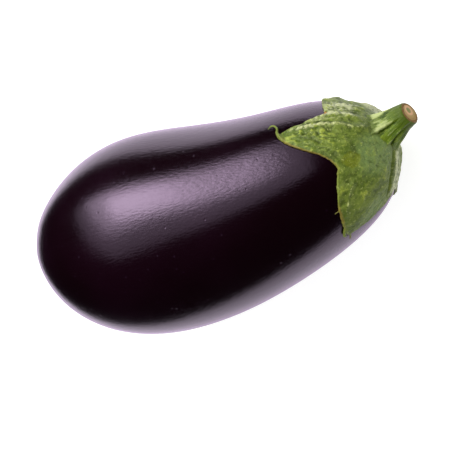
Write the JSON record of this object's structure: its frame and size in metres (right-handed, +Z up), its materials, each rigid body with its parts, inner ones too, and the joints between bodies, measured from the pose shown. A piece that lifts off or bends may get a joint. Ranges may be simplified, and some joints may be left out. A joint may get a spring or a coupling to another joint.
{
  "type": "eggplant",
  "caption": "Large dark purple eggplant lying on its side: a glossy pear-shaped, slightly bent fruit with a lobed green calyx and a short cut stem.",
  "frame": {"origin": "middle of the small flat spot that the fruit rests on", "axes": "+Z up, +X along the fruit from the blossom end to the stem, +Y towards the inside of its bend"},
  "size_m": [0.1859, 0.0885, 0.0888],
  "materials": {
    "skin": "waxy, glossy, nearly black purple",
    "calyx": "dull fleshy green with pale waxy streaks",
    "stem": "ribbed green stalk with a dry, corky brown cut"
  },
  "bodies": {
    "root": {"fruit": "skin", "calyx": "calyx", "stem": "stem"}
  },
  "joints": []
}
